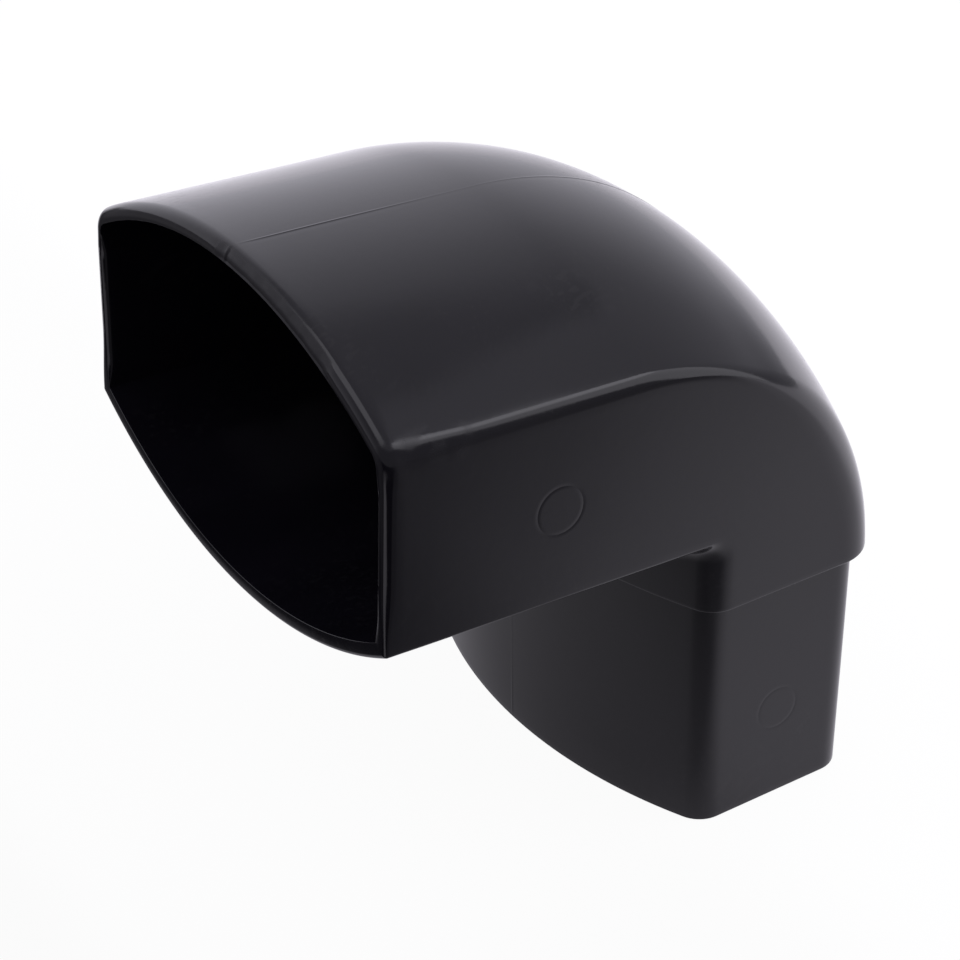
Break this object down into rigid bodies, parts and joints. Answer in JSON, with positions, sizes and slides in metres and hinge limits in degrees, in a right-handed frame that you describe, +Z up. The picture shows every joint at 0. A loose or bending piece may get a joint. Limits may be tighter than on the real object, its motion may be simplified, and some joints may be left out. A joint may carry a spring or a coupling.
{
  "type": "downpipe bend",
  "caption": "One-piece plastic bend for a flat-sided oval rainwater downpipe: a socket at the upper end, a curved hood and a plain spigot that points down.",
  "frame": {"origin": "centre of the spigot's end face", "axes": "+Z up along the spigot towards the bend, +X across the two flat sides, and the socket opens towards -Y, rising 2.5 degrees"},
  "size_m": [0.0982, 0.1098, 0.1151],
  "materials": {
    "black_plastic": "glossy, with a few soft ripples from the mould"
  },
  "bodies": {
    "root": {"downpipe_bend": "black_plastic"}
  },
  "joints": []
}
